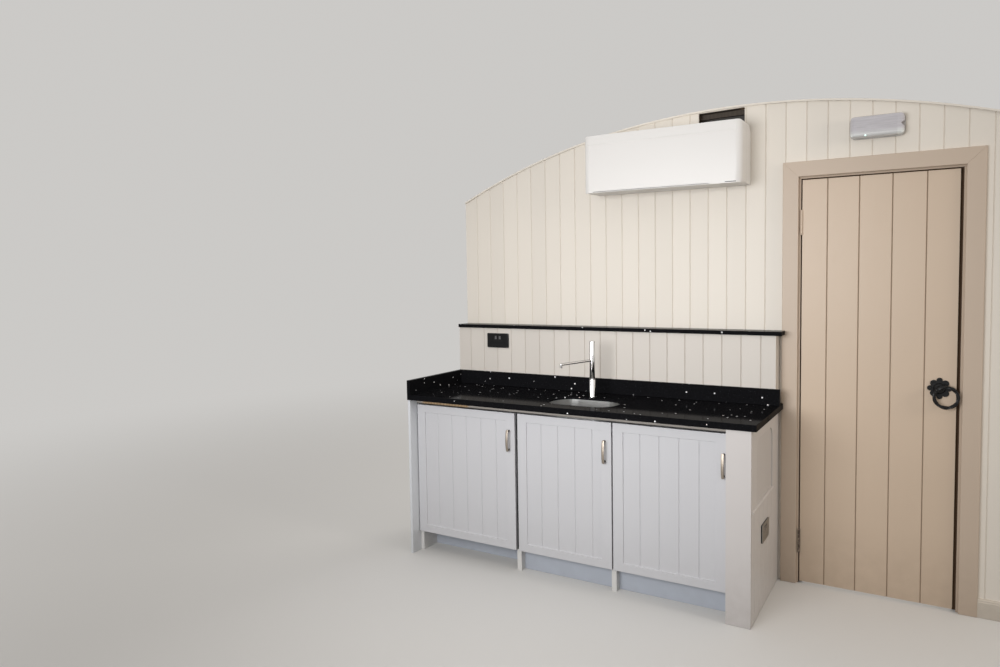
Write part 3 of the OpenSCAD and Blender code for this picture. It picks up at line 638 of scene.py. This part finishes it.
waste_low, waste_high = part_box("sink_waste")
waste_x = (waste_low[0] + waste_high[0]) / 2
waste_y = (waste_low[1] + waste_high[1]) / 2
strainer_radius = 0.0247
strainer_thickness = 0.0012
strainer_z = waste_high[2] - 0.0024
knob_z = waste_high[2] - 0.0022
hole = circle(0.0021, 12)
holes = [hole]
for reach, count in ((0.0075, 6), (0.0145, 12)):
    for i in range(count):
        a = 2 * math.pi * i / count
        holes.append([(u + reach * math.cos(a), v + reach * math.sin(a)) for u, v in hole])
plate("sink_strainer", [circle(strainer_radius, 48)] + holes, strainer_thickness,
      lambda u, v, w: (waste_x + u, waste_y + v, strainer_z + w), steel, "wall_and_units")
knob = [(0, 0.0), (0.0032, 0.0), (0.0032, 0.003), (0.0055, 0.0042), (0.0055, 0.0058),
        (0.004, 0.0068), (0, 0.007)]
bm = bmesh.new()
turned(bm, knob, lambda u, v, w: (waste_x + u, waste_y + v, knob_z + w), 20)
piece("strainer_knob", bm, steel, "wall_and_units")

# Tap: chromed brass. The column stands on a fixed foot and turns on it with the slender spout,
# which ends in a short nozzle.
chrome = finish("chrome", 0.06, Metallic=1.0)
# Painted reflection: the chrome's colour turns near-black towards its outline, standing in for a dark
# room seen in it.
facing = node(chrome, "LayerWeight", {"Blend": 0.35}).outputs["Facing"]
edge_reflection_shade = ranged(chrome, facing, 0.24, 0.5, 0.0, 1.0)
feed(chrome, "Base Color", mixed(chrome, edge_reflection_shade, (0.95, 0.95, 0.96), (0.05, 0.05, 0.055)))
coat(chrome, "tap_body", "tap_spout", arris=0.0004)
tap_x, tap_y, foot_top = hinges["tap_spout_swivel"]["pos_m"]
collar_inner, collar_outer = 0.0145, 0.0166
collar_low, collar_top = -0.0045, -0.0008
bm = bmesh.new()
turned(bm, [(collar_inner, collar_low), (collar_outer, collar_low), (collar_outer, collar_top),
            (collar_inner, collar_top)],
       lambda u, v, w: (tap_x + u, tap_y + v, foot_top + w), 40)
piece("tap_joint_ring", bm, chrome, "wall_and_units")

# Cabinets: three carcasses of white-faced board stand on their own sides, whose front edges are
# painted black between the doors as painted shade in the gaps. A strip of softwood closes the gap
# under the stone: it is bare near its left end, painted elsewhere, and painted black along its foot,
# where it shows over the doors, as painted shade.
cabinet_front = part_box("cabinet_sides")[0][1]
door_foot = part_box("left_cupboard_door")[0][2]
door_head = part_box("left_cupboard_door")[1][2]
board_white = (0.7, 0.69, 0.67)
gap_shade_black = (0.012, 0.012, 0.012)


def shaded_front_edges(material, color):
    """Painted shade: the sides' front edges are black between the doors, and white between the
    plinths.
    """
    x, y, z = position(material)
    front = between(material, y, cabinet_front - 0.001, cabinet_front + 0.0025, 0.0005)
    above_foot = ranged(material, z, door_foot, door_foot + 0.001, 0.0, 1.0)
    return mixed(material, sums(material, "MULTIPLY", front, above_foot), color, gap_shade_black)


edging = paint("cabinet_sides_board", board_white, 0.35, wear=0.01, layers=[(shaded_front_edges,)])
coat(edging, "cabinet_sides", arris=0)
coat(paint("faced_board", board_white, 0.35, wear=0.01), "cabinet_bottoms", "cabinet_backs")
bare_left, bare_right = -1.585, -1.30
fascia_paint = (0.5, 0.46, 0.42)
# Painted shade: the black that the strip's foot takes over the doors.
fascia_foot_shade = (0.03, 0.028, 0.026)
strip = finish("fascia", 0.6)
grain, fibres = pine_grain(strip)
x, y, z = position(strip)
bare = between(strip, x, bare_left, bare_right, 0.02)
over_foot = ranged(strip, z, door_head + 0.006, door_head + 0.012, 0.0, 1.0)
part_painted = mixed(strip, bare, fascia_paint, grain)
feed(strip, "Base Color", mixed(strip, over_foot, fascia_foot_shade, part_painted))
relief(strip, fibres, 0.0003)
coat(strip, "cabinet_fascia")

# Cupboard fronts: framed doors with V-jointed panels, plinths, scribe, end post and panelled end, all
# of timber brushed with grey-white satin paint. The post, scribe and plinths take warmer, cooler and
# bluer copies of that white, as painted light of warm and cool daylight.
grey_white = (0.62, 0.62, 0.64)
# Painted light: the warmer, cooler and bluer whites of the post, scribe and plinths.
post_warm_lit_white = (0.62, 0.59, 0.575)
scribe_cool_lit_white = (0.72, 0.74, 0.77)
plinth_blue_lit_grey = (0.5, 0.54, 0.61)
end_white = (0.68, 0.65, 0.63)
front_dirt = (0.3, 0.29, 0.29)
end_dirt_and_shade = (0.3, 0.27, 0.25)
front_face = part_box("middle_cupboard_door")[0][1]
panel_recess = 0.006
cup_joint = -(front_face + panel_recess + joint_depth)
front_layers = [(jointed, cup_joint, front_dirt, 0.14)]
coat(paint("front_paint", grey_white, 0.4, layers=front_layers, floor_darkening=0.12), "left_cupboard_door",
     "middle_cupboard_door", "right_cupboard_door", arris=0.0012)
coat(paint("post_paint", post_warm_lit_white, 0.42, floor_darkening=0.3), "end_post")
coat(paint("scribe_paint", scribe_cool_lit_white, 0.42, floor_darkening=0.2), "left_scribe")
coat(paint("plinth_paint", plinth_blue_lit_grey, 0.45, upright=False, floor_darkening=0.2), "plinths")
end_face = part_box("end_post")[1][0]


def end_joints_and_recess_shade(material, color):
    """The joints gather dirt, and the recess of the end panel is painted darker below its face as
    painted shade.
    """
    x = position(material)[0]
    amount = ranged(material, x, end_face - 0.0045, end_face - 0.0005, 0.1, 0.0)
    return mixed(material, amount, color, end_dirt_and_shade)


end_paint = paint("end_paint", end_white, 0.42, layers=[(end_joints_and_recess_shade,)], floor_darkening=0.2)
coat(end_paint, "end_panel", arris=0.001)

# Handles: satin nickel bows on two turned feet, bolted through the cupboard doors.
edge_reflection_brown = (0.1, 0.085, 0.07)
nickel = finish("satin_nickel", 0.3, Metallic=1.0)
satin = noise(nickel, scale=30.0, stretch=(30, 30, 1), detail=4.0)
# Painted reflection: the nickel's colour turns dark brown towards its outline.
facing = node(nickel, "LayerWeight", {"Blend": 0.4}).outputs["Facing"]
tone = mixed(nickel, satin, (0.3, 0.255, 0.21), (0.44, 0.385, 0.325))
edge_reflection_shade = ranged(nickel, facing, 0.3, 0.65, 0.0, 1.0)
feed(nickel, "Base Color", mixed(nickel, edge_reflection_shade, tone, edge_reflection_brown))
feed(nickel, "Roughness", ranged(nickel, satin, 0.2, 0.8, 0.36, 0.5))
coat(nickel, "left_cupboard_handle", "middle_cupboard_handle", "right_cupboard_handle",
     arris=0.0005)
foot_reach = 0.0495
bolt_bite = 0.0001
bolt_head = [(0.0048, 0.0), (0.0048, 0.0012), (0.004, 0.0022), (0.0022, 0.0028), (0, 0.003)]
for side in ("left", "middle", "right"):
    low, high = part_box(side + "_cupboard_handle")
    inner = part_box(side + "_cupboard_door")[1][1]
    bolt_x = (low[0] + high[0]) / 2
    handle_z = (low[2] + high[2]) / 2
    bm = bmesh.new()
    for way in (-1, 1):
        turned(bm, bolt_head, lambda u, v, w: (
            bolt_x + u, inner + w - bolt_bite, handle_z + way * foot_reach + v), 20)
    piece(side + "_handle_bolts", bm, nickel, side + "_cupboard")

# Sockets: double outlets with rocker switches and shuttered slots, screwed to back boxes; one
# has a brushed steel plate on the end panel and one is black on the boxing.
black_plastic = finish("black_plastic", 0.18, Specular_IOR_Level=0.2)
fleck = noise(black_plastic, scale=400.0, detail=2.0)
feed(black_plastic, "Base Color", mixed(black_plastic, fleck, (0.005, 0.005, 0.0055),
                                        (0.011, 0.011, 0.0115)))
relief(black_plastic, fleck, 0.00005, 0.3)
rocker_plastic = finish("rocker_plastic", 0.3)
feed(rocker_plastic, "Base Color", mixed(rocker_plastic, noise(rocker_plastic, scale=300.0),
                                         (0.09, 0.09, 0.093), (0.13, 0.13, 0.135)))
plate_steel = finish("plate_steel", 0.34, Metallic=0.9)
drawn = noise(plate_steel, scale=10.0, stretch=(90, 4, 90), detail=4.0)
feed(plate_steel, "Base Color", mixed(plate_steel, drawn, (0.3, 0.29, 0.275), (0.44, 0.43, 0.41)))
feed(plate_steel, "Roughness", ranged(plate_steel, drawn, 0.2, 0.8, 0.26, 0.42))


def box_outline(u, v, width, height, radius=0.0, steps=4):
    """A rectangle about (u, v), its corners rounded by radius."""
    if not radius:
        return [(u - width / 2, v - height / 2), (u + width / 2, v - height / 2),
                (u + width / 2, v + height / 2), (u - width / 2, v + height / 2)]
    points = []
    for corner, (a, b) in enumerate(((1, 1), (-1, 1), (-1, -1), (1, -1))):
        for p, q in circle(radius, steps, 90 * corner, 90 * corner + 90):
            points.append((u + a * (width / 2 - radius) + p, v + b * (height / 2 - radius) + q))
    return points


def double_socket(name, place, width, height, depth, face):
    """A face plate with six slots and two rocker windows over a black body; w runs outwards."""
    skin = 0.0022
    corner_radius = 0.006
    body_inset = 0.001
    outlet_share, rocker_share, screw_share = 0.245, 0.095, 0.43
    earth_slot, earth_up = (0.0042, 0.0078), 0.004
    pin_slot, pin_reach, pin_drop = (0.0072, 0.0042), 0.0108, 0.0185
    window_size, window_radius = (0.0125, 0.0205), 0.0015
    rocker_up, rocker_half_width, rocker_half_height = 0.017, 0.0057, 0.0098
    screw_radius, screw_stands = 0.0028, 0.0006
    slots = []
    rockers = []
    for side in (-1, 1):
        centre = side * width * outlet_share
        slots.append(box_outline(centre, earth_up, *earth_slot))
        slots.append(box_outline(centre - pin_reach, -pin_drop, *pin_slot))
        slots.append(box_outline(centre + pin_reach, -pin_drop, *pin_slot))
        rockers.append((side * width * rocker_share, rocker_up))
    windows = [box_outline(u, v, *window_size, window_radius) for u, v in rockers]
    plate(name + "_plate", [box_outline(0, 0, width, height, corner_radius)] + slots + windows, skin,
          lambda u, v, w: place(u, v, depth - skin / 2 + w), face, "wall_and_units", 0.0005)
    bm = bmesh.new()
    prism(bm, box_outline(0, 0, width - 2 * body_inset, height - 2 * body_inset,
                          corner_radius - body_inset), 0.0, depth - skin, place)
    base = piece(name + "_body", bm, black_plastic, "wall_and_units")
    bm = bmesh.new()
    for u, v in rockers:
        foot, head = v - rocker_half_height, v + rocker_half_height
        tilted = [(foot, -skin), (head, -skin), (head, 0.0018), (v, 0.0004), (foot, 0.0006)]
        prism(bm, tilted, u - rocker_half_width, u + rocker_half_width,
              lambda p, q, w: place(w, p, depth + q))
    piece(name + "_rockers", bm, rocker_plastic, "wall_and_units")
    bm = bmesh.new()
    for side in (-1, 1):
        slotted_screw(bm, screw_radius, screw_stands, lambda u, v, w: place(
            side * width * screw_share + u, v, depth + w), 60)
    piece(name + "_screws", bm, face, "wall_and_units")
    return base


face_drop = 0.001
low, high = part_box("socket_plate")
middle_y, middle_z = (low[1] + high[1]) / 2, (low[2] + high[2]) / 2
socket_body = double_socket("end_socket", lambda u, v, w: (low[0] + w, middle_y + u, middle_z + v),
                            high[1] - low[1], high[2] - low[2], high[0] - low[0] - face_drop,
                            plate_steel)
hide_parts("socket_plate")
low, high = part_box("boxing_socket")
middle_x, middle_z = (low[0] + high[0]) / 2, (low[2] + high[2]) / 2
socket_body = double_socket("shelf_socket",
                            lambda u, v, w: (middle_x + u, high[1] - w, middle_z + v),
                            high[0] - low[0], high[2] - low[2], high[1] - low[1] - face_drop,
                            black_plastic)
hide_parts("boxing_socket")

# Air conditioner: moulded white plastic shells. The deep front cover clips to the housing, with
# the closed flap along its lower front edge, and hangs on a plate on the wall.
white_plastic = finish("white_plastic", 0.36)
seam_shade_brown = (0.35, 0.31, 0.27)
texture = noise(white_plastic, scale=500.0, detail=2.0)
y = position(white_plastic)[1]
# Painted shade: a brown line along the seam where the front cover meets the housing.
seam = between(white_plastic, y, unit_high[1] - 0.0012, unit_high[1] + 0.0006, 0.0008)
tone = mixed(white_plastic, texture, (0.79, 0.77, 0.745), (0.82, 0.8, 0.775))
seam_shade = sums(white_plastic, "MULTIPLY", seam, 0.6)
feed(white_plastic, "Base Color", mixed(white_plastic, seam_shade, tone, seam_shade_brown))
relief(white_plastic, texture, 0.00006, 0.4)
coat(white_plastic, "ac_housing", "ac_front_cover", arris=0.0012)
flap_white = (0.8, 0.78, 0.755)
flap_inner_shade_dark = (0.1, 0.09, 0.08)
flap_plastic = finish("flap_plastic", 0.38)
z = position(flap_plastic)[2]
# Painted shade: the flap's upper face, inside the slot, is painted near-black.
upper_face = ranged(flap_plastic, z, unit_low[2] + 0.0030, unit_low[2] + 0.0035, 0.0, 1.0)
feed(flap_plastic, "Base Color", mixed(flap_plastic, upper_face, flap_white, flap_inner_shade_dark))
coat(flap_plastic, "ac_louvre", arris=0)
display_from_end = 0.08
display_length = 0.052
display_height = 0.0032
display_stands = 0.0006
display_bite = 0.0001
display_x = unit_high[0] - display_from_end + display_length / 2
display_z = unit_low[2] + 0.006
display = box_outline(display_x, display_z, display_length, display_height, 0.0012)
bm = bmesh.new()
prism(bm, display, 0.0, display_stands, lambda u, v, w: (u, unit_low[1] + display_bite - w, v))
piece("ac_display", bm, black_plastic, "wall_and_units")

# Emergency light: a grey base screwed to the boards and a clip-on milky lens with two moulded
# steps along it. A small pale green charge lamp is set in near its lower edge.
base_plastic = finish("base_plastic", 0.45)
base_tone = mixed(base_plastic, noise(base_plastic, scale=300.0), (0.42, 0.4, 0.38),
                  (0.47, 0.45, 0.43))
feed(base_plastic, "Base Color", base_tone)
coat(base_plastic, "light_base")
lens_foot_lit_tone = (0.78, 0.8, 0.78)
lens_tone = (0.54, 0.52, 0.545)
lens_field_tone = (0.48, 0.465, 0.49)
lens = finish("lens", 0.22, Coat_Weight=0.3, Coat_Roughness=0.1)
lens_low, lens_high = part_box("light_diffuser")
x, y, z = position(lens)
# Painted light: the lens's lower band is painted pale green-white, lighter than the rest, for the
# light along its lower edge.
height_share = ranged(lens, z, lens_low[2], lens_high[2], 0.0, 1.0)
above_foot = ranged(lens, height_share, 0.1, 0.35, 0.0, 1.0)
field = between(lens, x, lens_low[0] + 0.014, lens_high[0] - 0.03, 0.004)
streak = noise(lens, scale=14.0, stretch=(1, 1, 14), detail=3.0)
tone = mixed(lens, above_foot, lens_foot_lit_tone, lens_tone)
tone = mixed(lens, sums(lens, "MULTIPLY", field, 0.35), tone, lens_field_tone)
streaked = ranged(lens, streak, 0.3, 0.7, 0.93, 1.08)
feed(lens, "Base Color", mixed(lens, 1.0, tone, streaked, "MULTIPLY"))
coat(lens, "light_diffuser", arris=0)
lens_front = lens_low[1]
step_inset = 0.03
step_half_width = 0.0022
step_stands = 0.0011
step_bite = 0.0002
step_profile = [(-step_half_width, 0.0)]
for degrees in range(165, 0, -15):
    a = math.radians(degrees)
    step_profile.append((step_half_width * math.cos(a), step_stands * math.sin(a)))
step_profile.append((step_half_width, 0.0))
bm = bmesh.new()
for share in (0.24, 0.5):
    level_z = lens_low[2] + share * (lens_high[2] - lens_low[2])
    prism(bm, step_profile, lens_low[0] + step_inset, lens_high[0] - step_inset,
          lambda u, v, w: (w, lens_front + step_bite - v, level_z + u))
piece("lens_steps", bm, lens, "wall_and_units")
charge = finish("charge_lamp", 0.3, Emission_Strength=1.6, Emission_Color=(0.72, 1.0, 0.95, 1))
feed(charge, "Base Color", mixed(charge, noise(charge, scale=200.0), (0.6, 0.85, 0.8),
                                 (0.75, 0.95, 0.9)))
lamp_height = 0.0014
lamp_x = lens_low[0] + 0.065
lamp_z = lens_low[2] + 0.0075
lamp_dome = [(0.0, 0.0), (0.003, 0.0), (0.0028, 0.0006), (0.0018, 0.0012), (0, lamp_height)]
bm = bmesh.new()
turned(bm, lamp_dome, lambda u, v, w: (lamp_x + u, lens_front + lamp_height - w, lamp_z + v), 20)
piece("charge_lamp", bm, charge, "wall_and_units")
